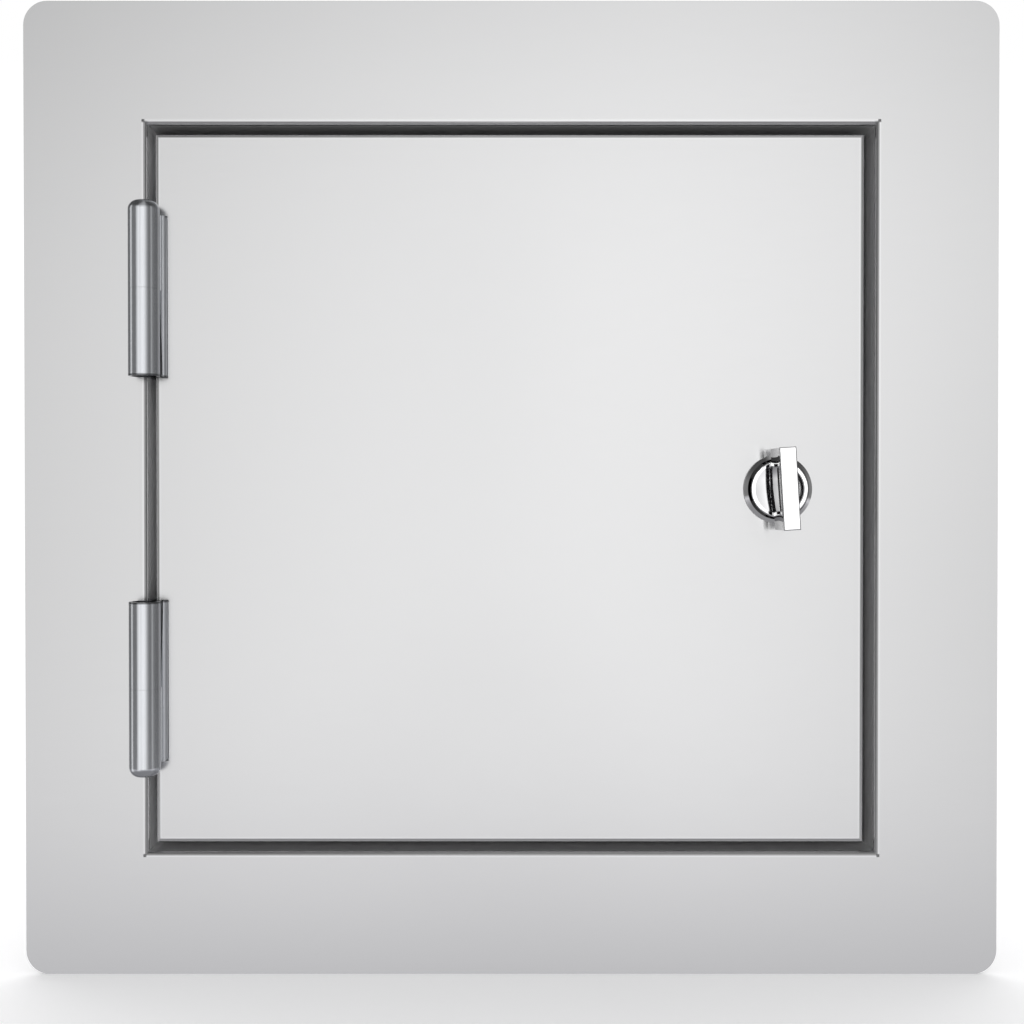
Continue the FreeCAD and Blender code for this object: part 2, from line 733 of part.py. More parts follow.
def hinge_door_leaf(name, side):
    """Domed outer knuckle on a fin, which passes through the door's face to a foot inside."""
    body = new_body(f"{name}_hinge_door_leaf")
    knuckle = span(side, DOOR_KNUCKLE, HINGE_OUTER_END)
    leaf = span(side, HINGE_INNER_END, FIN_END)
    dome = HINGE_OUTER_END * side
    pad(body, "XY_Plane", *knuckle, disc(0, 0, s.knuckle_radius))
    ease(body, s.knuckle_dome_radius, lambda edge: not straight(edge) and close(edge.CenterOfMass.z, dome))
    pad(body, "XY_Plane", *span(side, DOOR_KNUCKLE, FIN_END), hinge_web())
    fin = ((FIN_LEFT + s.fin_taper, HINGE_INNER_END), (FIN_RIGHT, HINGE_INNER_END), (FIN_RIGHT, FIN_END),
           (FIN_LEFT, FIN_END), (FIN_LEFT, DOOR_KNUCKLE))
    pad(body, "XZ_Plane", FIN_FRONT, FOOT_BACK, loop(*[(x, z * side) for x, z in fin]))
    ease(body, s.fin_edge_radius, lambda edge: straight(edge) and close(edge.CenterOfMass.x, FIN_RIGHT)
         and (close(edge.CenterOfMass.y, FIN_FRONT) or close(edge.CenterOfMass.z, FIN_END * side)))
    pad(body, "XY_Plane", *leaf, block(FIN_LEFT, FOOT_EDGE, FOOT_FRONT, FOOT_BACK))
    cut(body, "XY_Plane", *span(side, DOOR_KNUCKLE, HINGE_OUTER_END - s.knuckle_cap),
        disc(0, 0, s.pin_radius + s.pin_clearance))
    holes = [disc(STUD_X, z, s.stud_flange_radius + s.stud_clearance) for z in stud_heights(side)]
    cut(body, "XZ_Plane", FOOT_FRONT, FOOT_BACK, *holes)
    on_hinge(body)


def hinge_web():
    """Bridge from the knuckle to the fin, with a hollow where its front leaves the barrel."""
    knuckle, blend = s.knuckle_radius, s.fin_blend_radius
    height = FIN_FRONT - blend
    reach = ((knuckle + blend) * (knuckle + blend) - height * height).root()
    share = knuckle / (knuckle + blend)
    back = FIN_FRONT + s.web_depth
    inside = FIN_LEFT + s.fin_sheet / 2
    return loop((0, 0), (reach * share, height * share), (reach, FIN_FRONT), (inside, FIN_FRONT), (inside, back),
                (0, back), bends={1: blend})


def hinge_pin(name, side):
    """Pin, pressed into the frame's knuckle and running in the door's."""
    body = new_body(f"{name}_hinge_pin")
    low, high = span(side, HINGE_INNER_END + s.pin_recess, HINGE_OUTER_END - s.knuckle_cap - s.pin_end_gap)
    waist = s.pin_radius - s.pin_chamfer
    turned(body, loop((0, low), (waist, low), (s.pin_radius, low + s.pin_chamfer),
                      (s.pin_radius, high - s.pin_chamfer), (waist, high), (0, high)))
    on_hinge(body)


def hinge_washer(name, side):
    """Thrust washer between the knuckles."""
    body = new_body(f"{name}_hinge_washer")
    low, high = span(side, FRAME_KNUCKLE, DOOR_KNUCKLE - s.hinge_washer_gap)
    turned(body, block(s.pin_radius + s.pin_clearance, s.knuckle_radius - s.hinge_washer_inset, low, high))
    on_hinge(body)


def stud_heights(side):
    """Heights of one hinge's weld studs, lowest first."""
    return [HINGE_MIDDLE * side + s.stud_pitch / 2 * k for k in (-1, 1)]


def on_studs(body, side, *features):
    """A fastener on both weld studs of a hinge: its own Z runs from the door's face into the door."""
    row(body, features, "Y_Axis", s.stud_pitch, 2)
    place(body, (HINGE_X + STUD_X, DOOR_INSIDE, stud_heights(side)[1]), (X, -90))


def hinge_studs(name, side):
    """Flanged studs welded to the back of the door's face."""
    body = new_body(f"{name}_hinge_studs", group=True)
    shape = loop((0, 0), (s.stud_flange_radius, 0), (s.stud_flange_radius, s.stud_flange_height),
                 (s.stud_radius, s.stud_flange_height), (s.stud_radius, s.stud_length), (0, s.stud_length))
    on_studs(body, side, turned(body, shape))


def hinge_stud_washers(name, side):
    body = new_body(f"{name}_hinge_stud_washers", group=True)
    washer = block(s.stud_radius + s.stud_clearance, s.stud_washer_radius, s.fin_sheet,
                   s.fin_sheet + s.stud_washer_height)
    on_studs(body, side, turned(body, washer))


def hinge_stud_nuts(name, side):
    body = new_body(f"{name}_hinge_stud_nuts", group=True)
    low = s.fin_sheet + s.stud_washer_height
    nut = hex_nut(body, low, low + s.stud_nut_height, s.stud_nut_flats, s.stud_radius + s.thread_clearance)
    on_studs(body, side, *nut)


# Latch, each body with its own Z along the axis, forwards from the door's face


def on_latch(body, lean=0.0):
    place(body, (LATCH_X, FACE, ZERO), (X, 90), (Z, lean))


def on_spindle(body):
    on_latch(body, s.latch_lean.value)


def latch_housing():
    """Round bezel with a sloping front, and threaded barrel."""
    body = new_body("latch_housing")
    bore = s.spindle_radius + s.spindle_clearance
    end = CAM_FRONT + s.barrel_cam_gap
    seat = s.rotor_radius + s.rotor_clearance
    turned(body, loop((bore, end), (s.barrel_radius, end), (s.barrel_radius, s.gasket_height),
                      (s.bezel_radius, s.gasket_height), (s.bezel_radius, s.gasket_height + s.bezel_rim),
                      (seat, s.bezel_height), (seat, s.rotor_seat), (bore, s.rotor_seat)))
    on_latch(body)


def latch_gasket():
    body = new_body("latch_gasket")
    turned(body, block(s.barrel_radius + s.barrel_clearance, s.gasket_radius, ZERO, s.gasket_height))
    on_latch(body)


def latch_lock_washer():
    body = new_body("latch_lock_washer")
    turned(body, block(s.barrel_radius + s.barrel_clearance, s.lock_washer_radius, NUT_FRONT, -s.door_sheet))
    on_latch(body)


def latch_nut():
    body = new_body("latch_nut")
    hex_nut(body, NUT_FRONT - s.latch_nut_height, NUT_FRONT, s.latch_nut_flats, s.barrel_radius + s.thread_clearance)
    on_latch(body)


def wing(low):
    """The wing's outline with its hollow sides, from a height up."""
    hollow = s.wing_hollow_radius

    def side(height):
        rise = height - s.wing_waist_height
        return s.wing_waist / 2 + hollow - (hollow * hollow - rise * rise).root()

    root, tip = side(low), side(s.wing_height)
    return loop((-root, low), (root, low), (tip, s.wing_height), (-tip, s.wing_height), bends={1: hollow, 3: hollow})


def wing_knob():
    """Wing on a cupped rotor, with the spindle and the square that drives the cam."""
    body = new_body("wing_knob")
    rotor_back = s.rotor_seat + s.rotor_gap
    groove = -s.ring_station
    groove_end = groove - s.ring_groove_width
    groove_floor = s.spindle_radius - s.ring_groove_depth
    turned(body, loop((0, CAM_FRONT), (s.spindle_radius, CAM_FRONT), (s.spindle_radius, groove_end),
                      (groove_floor, groove_end), (groove_floor, groove), (s.spindle_radius, groove),
                      (s.spindle_radius, rotor_back), (s.rotor_radius, rotor_back),
                      (s.rotor_radius, s.rotor_height), (s.cup_radius, s.rotor_height),
                      (s.cup_radius, s.cup_floor + s.cup_dish), (0, s.cup_floor),
                      bends={10: dome(s.cup_radius, s.cup_dish)}))
    ease(body, s.rotor_edge_radius, lambda edge: edge.BoundBox.XLength > s.rotor_radius.value * 2 - TOUCH
         and close(edge.BoundBox.ZMin, s.rotor_height))
    in_rim = (s.cup_radius + s.rotor_radius) / 2
    end = s.wing_length / 2
    pad(body, "XZ_Plane", -in_rim, in_rim, wing(s.cup_floor))
    pad(body, "XZ_Plane", -end, end, wing(s.rotor_height))
    ease(body, s.wing_edge_radius, lambda edge: close(edge.CenterOfMass.z, s.wing_height))
    drive_end = CAM_BACK + s.drive_setback
    pad(body, "XY_Plane", drive_end, CAM_FRONT, square(s.drive_square / 2))
    cut(body, "XY_Plane", drive_end, drive_end + s.cam_screw_hole,
        disc(0, 0, s.cam_screw_radius + s.thread_clearance))
    on_spindle(body)


def spindle_ring():
    """Rubber ring in the spindle's groove."""
    body = new_body("spindle_ring")
    cord = s.ring_groove_depth / 2
    middle = -s.ring_station - s.ring_groove_width / 2
    turned(body, disc(s.spindle_radius - cord, middle, cord))
    on_spindle(body)


def latch_cam():
    """Flat cam on the square, which turns behind the right-hand stop."""
    body = new_body("latch_cam")
    half = s.cam_width / 2
    pad(body, "XY_Plane", CAM_BACK, CAM_FRONT, disc(0, 0, s.cam_hub_radius))
    pad(body, "XY_Plane", CAM_BACK, CAM_FRONT, block(-half, half, -s.cam_reach, ZERO))
    ease(body, s.cam_corner_radius, lambda edge: straight(edge) and close(abs(edge.CenterOfMass.x), half)
         and close(edge.CenterOfMass.y, -s.cam_reach))
    cut(body, "XY_Plane", CAM_BACK, CAM_FRONT, square(s.drive_square / 2 + s.drive_clearance))
    on_spindle(body)


def cam_washer():
    body = new_body("cam_washer")
    turned(body, block(s.cam_screw_radius + s.screw_hole_clearance, s.cam_washer_radius,
                       CAM_BACK - s.cam_washer_height, CAM_BACK))
    on_spindle(body)


def cam_screw():
    """Screw that clamps the cam to the spindle."""
    body = new_body("cam_screw")
    head = CAM_BACK - s.cam_washer_height
    end = head - s.cam_screw_head_height
    point = head + s.cam_screw_length
    turned(body, loop((0, end), (s.cam_screw_head_radius, end), (s.cam_screw_head_radius, head),
                      (s.cam_screw_radius, head), (s.cam_screw_radius, point), (0, point)))
    cut(body, "XY_Plane", end, end + s.cam_screw_socket_depth, hexagon(s.cam_screw_socket_flats))
    on_spindle(body)


def build():
    frame()
    for side in SIDES:
        stop(side)
        seal(side)
    stop_rivets()
    door_skin()
    door_liner()
    liner_screws()
    for name, side in HINGES.items():
        for piece in (hinge_frame_leaf, hinge_rivets, hinge_door_leaf, hinge_pin, hinge_washer, hinge_studs,
                      hinge_stud_washers, hinge_stud_nuts):
            piece(name, side)
    for piece in (latch_housing, latch_gasket, latch_lock_washer, latch_nut, wing_knob, spindle_ring, latch_cam,
                  cam_washer, cam_screw):
        piece()


def check_and_write():
    """Stops at a failed feature or a bad solid, and otherwise writes every sub-part."""
    doc.recompute()
    failed = [item.Name for item in doc.Objects if {"Invalid", "Error"} & set(item.State)]
    bad = [body.Label for body in nodes if body.Shape.isNull() or not body.Shape.isValid()]
    if failed or bad:
        raise RuntimeError(f"failed features {failed}, bad solids {bad}")
    os.makedirs("parts", exist_ok=True)
    for body in nodes:
        body.Shape.exportStep(f"parts/{body.Label}.step")
        print(f"{body.Label}: {len(body.Shape.Solids)} solid, {body.Shape.Volume:.1f} mm3")


build()
check_and_write()
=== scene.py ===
"""Looks of the utility access door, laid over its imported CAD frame.

Satin sheet steel, polished hinges, a chrome wing latch, plated fasteners and a rubber seal, on a plain pale
stage. Metres, in the part's own frame: the front faces -Y and +Z is up.
"""

import math

import bmesh
import bpy
from bpy.props import FloatProperty, FloatVectorProperty, IntProperty, PointerProperty
from mathutils import Matrix, Vector


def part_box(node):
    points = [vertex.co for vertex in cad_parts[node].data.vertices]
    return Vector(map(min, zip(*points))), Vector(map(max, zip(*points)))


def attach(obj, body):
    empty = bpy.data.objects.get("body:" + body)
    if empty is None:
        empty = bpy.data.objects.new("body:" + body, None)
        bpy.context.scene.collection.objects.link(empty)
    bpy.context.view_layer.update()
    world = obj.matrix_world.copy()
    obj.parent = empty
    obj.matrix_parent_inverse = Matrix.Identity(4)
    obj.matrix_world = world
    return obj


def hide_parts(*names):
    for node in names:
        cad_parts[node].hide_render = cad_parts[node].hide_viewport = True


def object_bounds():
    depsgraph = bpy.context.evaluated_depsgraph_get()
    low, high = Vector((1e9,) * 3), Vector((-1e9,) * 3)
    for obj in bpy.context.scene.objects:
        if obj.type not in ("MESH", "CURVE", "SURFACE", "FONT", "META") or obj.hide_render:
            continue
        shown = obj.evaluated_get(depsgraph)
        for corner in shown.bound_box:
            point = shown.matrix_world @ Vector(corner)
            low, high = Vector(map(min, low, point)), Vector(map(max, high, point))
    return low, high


bl_info = {
    "name": "Utility access door",
    "version": (1, 0, 0),
    "blender": (4, 5, 0),
    "location": "View3D > Sidebar > Access door",
    "description": "Finishes, rubber seal and stage of a utility access door",
    "category": "Object",
}

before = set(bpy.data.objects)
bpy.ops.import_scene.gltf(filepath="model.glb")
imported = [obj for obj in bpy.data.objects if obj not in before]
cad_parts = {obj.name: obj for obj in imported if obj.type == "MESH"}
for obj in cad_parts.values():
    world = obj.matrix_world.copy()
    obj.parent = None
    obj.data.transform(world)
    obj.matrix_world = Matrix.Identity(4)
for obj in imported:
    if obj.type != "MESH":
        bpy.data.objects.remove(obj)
CAD_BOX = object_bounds()

HINGES = ("upper", "lower")
SIDES = {"bottom": 0, "left": 90, "top": 180, "right": 270}  # degrees about Y from the bottom side


def hinge_nodes(*pieces):
    return [f"{name}_hinge_{piece}" for name in HINGES for piece in pieces]


# Nodes of the CAD frame by their finish
SHEET_NODES = ["frame", "door_liner", *[f"stop_{side}" for side in SIDES]]
SKIN_NODES = ["door_skin"]
HINGE_NODES = hinge_nodes("frame_leaf", "door_leaf", "pin", "washer")
LATCH_NODES = ["latch_housing", "wing_knob"]
SMALL_RUBBER_NODES = ["latch_gasket", "spindle_ring"]
FASTENER_NODES = ["stop_rivets", "liner_screws", "latch_lock_washer", "latch_nut", "latch_cam", "cam_washer",
                  "cam_screw", *hinge_nodes("rivets", "studs", "stud_washers", "stud_nuts")]

# Features per metre of the patterns in the finishes, along each axis
SHEET_DRIFT = (7.0, 7.0, 5.0)
SHEET_GRAIN = (60.0, 5200.0, 5200.0)
HINGE_DRIFT = (120.0, 120.0, 60.0)
HINGE_MARKS = (6000.0, 6000.0, 220.0)
CHROME_DRIFT = (300.0,) * 3
CHROME_MARKS = (420.0,) * 3
ZINC_PATCHES = (260.0,) * 3
ZINC_GRAINS = (2400.0,) * 3
RUBBER_BLOOM = (90.0,) * 3
RUBBER_PORES = (3000.0,) * 3
CARD_DRIFT = (30.0,) * 3
FLOOR_DRIFT = (3.0,) * 3

# Painted shade and painted highlights on the sheets by the distance from the middle: darker in the folds,
# with a bright line beside them, and the door's fold mostly painted lighter
FRAME_FOLD_PAINTED_SHADING = ((0.1139, 1.0), (0.1141, 0.8), (0.1145, 0.5), (0.1150, 0.46), (0.11512, 1.14), (0.1158, 1.0))
DOOR_FOLD_PAINTED_SHADING = ((0.1090, 1.0), (0.10968, 1.06), (0.10978, 0.7), (0.1100, 1.1), (0.1104, 1.27), (0.1111, 1.27),
             (0.1113, 1.0))
# Painted light and shade on the left, right and top jambs and painted light on the fold over the top one:
# axis, place along it and tone
JAMB_PAINTED_LIGHT = (("X", (-0.1141, -0.1120), 1.5), ("X", (0.1120, 0.1141), 1.15), ("Z", (0.1120, 0.1139), 0.6),
              ("Z", (0.1141, 0.1150), 1.6))
# Painted shade at the nicks, by the distance from the corners of the opening
NICK_PAINTED_SHADE = ((0.0, 0.3), (0.0003, 0.35), (0.0006, 1.0))
# Tone of the hinges by the distance from the level of the latch: painted shade at their open ends
HINGE_MOUTH_PAINTED_SHADE = ((0.0340, 0.25), (0.0352, 0.3), (0.0356, 1.0))
# Lengths over which one tone gives way to the next
SOFT, CRISP, SHARP = 0.0002, 0.0001, 0.00005
# A length past the latch's rim and the front of its housing
LATCH_REACH = 0.02

# Brightness of the surroundings by degrees to the right of the front
ROUND = (
    (-180, 1.0), (-128, 1.0), (-112, 0.2), (-46, 0.18), (-37, 0.36), (-28, 0.61), (-22, 0.77), (-16, 0.86),
    (-8, 0.99), (0, 1.07), (5, 1.09), (10, 1.06), (16, 0.92), (22, 0.80), (30, 0.55), (38, 0.32), (48, 0.18),
    (112, 0.2), (128, 1.0), (180, 1.0),
)
# Share of that brightness by degrees up
UP = (
    (-90, 0.3), (-36, 0.3), (-28, 0.38), (-22, 0.50), (-17, 0.80), (-12, 1.13), (-6, 1.03), (0, 1.05),
    (6, 1.09), (11, 1.085), (15, 1.03), (20, 0.90), (30, 0.62), (42, 0.38), (90, 0.38),
)
# How far back a direction has to point to be background in part and in full
BACKGROUND = (0.75, 1.0)
WHITE = (1.0, 1.0, 1.0)

# Panels that light the hinges: degrees to the right of the front, width and brightness
HINGE_PANELS = (("hinge_left_light", -31, 0.32, 0.35), ("hinge_side_light", -90, 0.20, 0.60),
                ("hinge_right_light", 70, 0.16, 0.24))
HINGE_PANEL_REACH, HINGE_PANEL_HEIGHT = 0.75, 1.0
# Panels that light the latch: place, place that they face, size and brightness
LATCH_PANELS = (("latch_left_light", (-0.30, -0.64, 0.0), (0.083, 0.0, 0.0), (0.38, 1.0), 1.55),
                ("latch_front_light", (0.29, -0.47, 0.0), (0.29, 0.0, 0.0), (0.32, 0.5), 0.62))
FLOOR_SIZE = 12.0
FLOOR_LIGHT_TILT, FLOOR_LIGHT_SPREAD = math.radians(-8), math.radians(120)
CARD_TONES = ((0.008, 0.008, 0.009), (0.014, 0.014, 0.015))
CARD_GAP = 0.004  # between the card and the front light before it
SENSOR = 36.0  # millimetres
NEAR_CLIP = 0.01


class SheetFinish(bpy.types.PropertyGroup):
    colour: FloatVectorProperty(
        name="Colour", description="Colour of the satin steel", subtype="COLOR", default=(0.78, 0.78, 0.785))
    roughness: FloatProperty(
        name="Roughness", description="Blur of the satin finish", default=0.24, min=0, max=1)
    grain: FloatProperty(
        name="Grain", description="How much the rolling grain varies the blur", default=0.012)
    cloud: FloatProperty(
        name="Cloud", description="Share by which the colour drifts over the sheet", default=0.02)
    # Painted shade marks the nicks at this place.
    nick_place: FloatProperty(
        name="Nicks", description="Place of the dark nicks at the opening's corners", subtype="DISTANCE",
        default=0.1151)
    jamb: FloatProperty(
        name="Jamb", description="Half the length of the jambs", subtype="DISTANCE", default=0.1140)
    mill_start: FloatProperty(
        name="Mill finish", description="Depth behind which the sheet keeps its dull mill finish",
        subtype="DISTANCE", default=0.0006)
    mill_metal: FloatProperty(
        name="Mill metal", description="Share of mirror reflection in the mill finish", default=0.22, min=0,
        max=1)
    # Painted shade: the mill finish's tone is darkened just behind the folds.
    mill_painted_shade: FloatProperty(
        name="Mill tone", description="How dark the mill finish starts behind the folds", default=0.7, min=0,
        max=1)
    # Painted light: deeper in the gap the mill finish's tone is painted lighter, up to this depth.
    mill_end: FloatProperty(
        name="Mill fade", description="Depth where the mill finish is palest", subtype="DISTANCE",
        default=0.010)
    # Painted light: the tone where the mill finish is painted lightest.
    mill_painted_light: FloatProperty(
        name="Mill peak", description="Tone of the mill finish where it is palest", default=1.2)
    deep: FloatProperty(
        name="Deep", description="Depth behind which the sheet is plain again", subtype="DISTANCE",
        default=0.0170)
    deep_metal: FloatProperty(
        name="Deep metal", description="Share of mirror reflection there", default=0.75, min=0, max=1)
    deep_tone: FloatProperty(
        name="Deep tone", description="Tone of the sheet there", default=0.78, min=0, max=1)


class HingeFinish(bpy.types.PropertyGroup):
    colour: FloatVectorProperty(
        name="Colour", description="Colour of the polished steel", subtype="COLOR",
        default=(0.75, 0.768, 0.80))
    cloud: FloatProperty(
        name="Cloud", description="Share by which the colour drifts over the hinge", default=0.05)
    roughness: FloatProperty(
        name="Roughness", description="Blur of the polish", default=0.15, min=0, max=1)
    scratches: FloatProperty(
        name="Scratches", description="How much fine scratches add to the blur", default=0.08)
    leaf: FloatProperty(
        name="Leaf", description="Place across the door where the duller leaf starts", subtype="DISTANCE",
        default=-0.1091)
    leaf_roughness: FloatProperty(
        name="Leaf roughness", description="Blur of the leaf", default=0.42, min=0, max=1)


class LatchFinish(bpy.types.PropertyGroup):
    colour: FloatVectorProperty(
        name="Colour", description="Colour of the chrome plate", subtype="COLOR", default=(0.93, 0.93, 0.935))
    cloud: FloatProperty(
        name="Cloud", description="Share by which the colour drifts over the plate", default=0.03)
    roughness: FloatProperty(
        name="Roughness", description="Blur of the plate", default=0.035, min=0, max=1)
    smudges: FloatProperty(
        name="Smudges", description="How much finger marks add to the blur", default=0.05)
    edge: FloatProperty(
        name="Edge", description="Width of the bright edge along the wing's front", subtype="DISTANCE",
        default=0.0004)
    # Painted shade on the wing's sides.
    side: FloatProperty(
        name="Sides", description="Tone of the wing's duller sides", default=0.42, min=0, max=1)
    wing: FloatProperty(
        name="Wing", description="Height of the wing over the rotor", subtype="DISTANCE", default=0.0162)
    # Place, width and tone of a painted shadow in the groove round the rotor.
    groove: FloatProperty(
        name="Groove", description="Radius where the dark groove round the rotor starts", subtype="DISTANCE",
        default=0.00888)
    groove_width: FloatProperty(
        name="Groove width", description="Width of that groove", subtype="DISTANCE", default=0.0006)
    # Tone of the painted shadow in that groove.
    groove_painted_shadow: FloatProperty(
        name="Groove tone", description="Tone of that groove", default=0.04, min=0, max=1)


class FastenerFinish(bpy.types.PropertyGroup):
    colour: FloatVectorProperty(
        name="Colour", description="Colour of the zinc plate", subtype="COLOR", default=(0.66, 0.665, 0.68))
    tint: FloatVectorProperty(
        name="Tint", description="Colour of the passivated patches", subtype="COLOR",
        default=(0.62, 0.63, 0.60))
    smooth: FloatProperty(
        name="Smooth", description="Blur of the plate where it is smoothest", default=0.28, min=0, max=1)
    rough: FloatProperty(
        name="Rough", description="Blur of the plate where it is roughest", default=0.42, min=0, max=1)
    grains: FloatProperty(
        name="Grains", description="Depth of the grains in the plate", subtype="DISTANCE", default=0.000012)


class SealSizes(bpy.types.PropertyGroup):
    colour: FloatVectorProperty(
        name="Colour", description="Colour of the rubber", subtype="COLOR", default=(0.022, 0.022, 0.023))
    bloom: FloatProperty(
        name="Bloom", description="Share by which dust makes the rubber paler", default=0.6)
    smooth: FloatProperty(
        name="Smooth", description="Blur of the rubber where it is smoothest", default=0.5, min=0, max=1)
    rough: FloatProperty(
        name="Rough", description="Blur of the rubber where it is roughest", default=0.72, min=0, max=1)
    pores: FloatProperty(
        name="Pores", description="Depth of the pores in the rubber", subtype="DISTANCE", default=0.00003)
    edge: FloatProperty(
        name="Edge", description="Round on the strip's front edges", subtype="DISTANCE", default=0.001)
    segments: IntProperty(
        name="Segments", description="Steps in each round", default=5, min=1)
    groove: FloatProperty(
        name="Groove", description="Width of the hollow between the two lips", subtype="DISTANCE",
        default=0.003)
    groove_depth: FloatProperty(
        name="Groove depth", description="Depth of that hollow", subtype="DISTANCE", default=0.0014)
    groove_floor: FloatProperty(
        name="Groove floor", description="Width of that hollow's floor as a share of its mouth", default=0.5)
    crease: FloatProperty(
        name="Crease", description="Angle up to which the strip is shaded as smooth", subtype="ANGLE",
        default=math.radians(35))


class StageSettings(bpy.types.PropertyGroup):
    lens: FloatProperty(
        name="Lens", description="Focal length on a 36 mm sensor", default=50.0)
    distance: FloatProperty(
        name="Distance", description="From the lens to the frame's face", subtype="DISTANCE", default=0.4455)
    aside: FloatProperty(
        name="Aside", description="Lens to the right of the middle of the frame", subtype="DISTANCE",
        default=0.0002)
    height: FloatProperty(
        name="Height", description="Lens above the middle of the frame", subtype="DISTANCE", default=-0.0026)
    tilt: FloatProperty(
        name="Tilt", description="How far the lens points down", subtype="ANGLE", default=math.radians(0.59))
    lean: FloatProperty(
        name="Lean", description="Share by which the light leans to the right on its way up", default=0.16)
    even_start: FloatProperty(
        name="Even from", description="Degrees up where the surroundings start to even out", default=-12.0)
    even_end: FloatProperty(
        name="Even to", description="Degrees up where they are the same all round", default=-19.0)
    even_colour: FloatVectorProperty(
        name="Even colour", description="Their colour there", subtype="COLOR", default=(0.885, 0.88, 0.915))
    floor_colour: FloatVectorProperty(
        name="Floor", description="Colour of the floor", subtype="COLOR", default=(0.93, 0.93, 0.94))
    floor_cloud: FloatProperty(
        name="Floor cloud", description="Share by which that colour drifts", default=0.01)
    floor_light: FloatProperty(
        name="Floor light", description="Brightness of the light on the floor", default=0.62)
    floor_glow: FloatProperty(
        name="Floor glow", description="Light that the floor gives itself", default=0.225)
    front: FloatProperty(
        name="Front light", description="Brightness of the light on the sheets", default=1.06)
    card_place: FloatVectorProperty(
        name="Camera card", description="Middle of the camera's dark front", subtype="TRANSLATION",
        default=(-0.012, -0.47, 0.0))
    card_size: FloatVectorProperty(
        name="Card size", description="Width and height of that front", size=2, default=(0.072, 0.40))


class AccessDoorSettings(bpy.types.PropertyGroup):
    sheet: PointerProperty(type=SheetFinish)
    hinge: PointerProperty(type=HingeFinish)
    latch: PointerProperty(type=LatchFinish)
    fastener: PointerProperty(type=FastenerFinish)
    seal: PointerProperty(type=SealSizes)
    stage: PointerProperty(type=StageSettings)


# Materials


class Tree:
    """Short ways to add nodes to a material or a world."""

    def __init__(self, tree, end):
        self.nodes, self.links = tree.nodes, tree.links
        self.end = next(node for node in self.nodes if node.type == end)

    def fill(self, socket, value):
        """Links a socket to another node's value, or sets a number or a colour on it."""
        if isinstance(value, bpy.types.NodeSocket):
            self.links.new(value, socket)
        else:
            socket.default_value = (*value, 1.0) if socket.type == "RGBA" else value

    def feed(self, socket, value):
        """Fills a socket of the shader that the tree ends in."""
        self.fill(self.end.inputs[socket], value)

    def axes(self, vector):
        """The three parts of a place or a direction."""
        node = self.nodes.new("ShaderNodeSeparateXYZ")
        self.links.new(vector, node.inputs["Vector"])
        return [node.outputs[axis] for axis in "XYZ"]

    def math(self, operation, *values):
        """One sum on numbers or values of other nodes."""
        node = self.nodes.new("ShaderNodeMath")
        node.operation = operation
        for socket, value in zip(node.inputs, values):
            self.fill(socket, value)
        return node.outputs[0]

    def spread(self, value, low, high, start=0.3, end=0.7):
        """Stretches a value from start..end to low..high."""
        node = self.nodes.new("ShaderNodeMapRange")
        node.inputs["From Min"].default_value = start
        node.inputs["From Max"].default_value = end
        node.inputs["To Min"].default_value = low
        node.inputs["To Max"].default_value = high
        self.links.new(value, node.inputs["Value"])
        return node.outputs["Result"]

    def profile(self, value, stops):
        """A tone that follows a value through (value, tone) stops."""
        start, end = stops[0][0], stops[-1][0]
        ramp = self.nodes.new("ShaderNodeValToRGB")
        while len(ramp.color_ramp.elements) < len(stops):
            ramp.color_ramp.elements.new(0.5)
        for stop, (at, tone) in zip(ramp.color_ramp.elements, stops):
            stop.position = (at - start) / (end - start)
            stop.color = (tone, tone, tone, 1.0)
        self.links.new(self.spread(value, 0.0, 1.0, start, end), ramp.inputs["Fac"])
        return ramp.outputs["Color"]

    def band(self, value, low, high):
        """One between two places and nothing outside them."""
        return self.profile(value, ((low - SOFT, 0.0), (low, 1.0), (high, 1.0), (high + SOFT, 0.0)))

    def blend(self, share, first, second, way="MIX"):
        """Mixes two colours by a share."""
        node = self.nodes.new("ShaderNodeMix")
        node.data_type = "RGBA"
        node.blend_type = way
        for name, value in (("Factor", share), ("A", first), ("B", second)):
            self.fill(node.inputs[name], value)
        return node.outputs["Result"]

    def times(self, first, second):
        """Product of two colours."""
        return self.blend(1.0, first, second, "MULTIPLY")


class Coat(Tree):
    """The nodes of one material, all on the piece's own coordinates."""

    def __init__(self, name):
        self.material = bpy.data.materials.new(name)
        self.material.use_nodes = True
        super().__init__(self.material.node_tree, "BSDF_PRINCIPLED")
        self.place = self.nodes.new("ShaderNodeTexCoord").outputs["Object"]

    def noise(self, scale, detail=2.0, roughness=0.5):
        """Noise with its own number of features per metre along each axis."""
        mapping = self.nodes.new("ShaderNodeMapping")
        mapping.inputs["Scale"].default_value = scale
        self.links.new(self.place, mapping.inputs["Vector"])
        texture = self.nodes.new("ShaderNodeTexNoise")
        texture.inputs["Scale"].default_value = 1.0
        texture.inputs["Detail"].default_value = detail
        texture.inputs["Roughness"].default_value = roughness
        self.links.new(mapping.outputs["Vector"], texture.inputs["Vector"])
        return texture.outputs["Fac"]

    def drift(self, scale, first, second, detail=2.0):
        """A colour that drifts between two others."""
        return self.blend(self.spread(self.noise(scale, detail), 0.0, 1.0), first, second)

    def relief(self, height, depth):
        """Bump of a given depth in metres."""
        node = self.nodes.new("ShaderNodeBump")
        node.inputs["Strength"].default_value = 1.0
        node.inputs["Distance"].default_value = depth
        self.links.new(height, node.inputs["Height"])
        self.feed("Normal", node.outputs["Normal"])


def shaded(colour, share):
    """A colour made lighter or darker by a share."""
    return tuple(channel * (1.0 + share) for channel in colour)


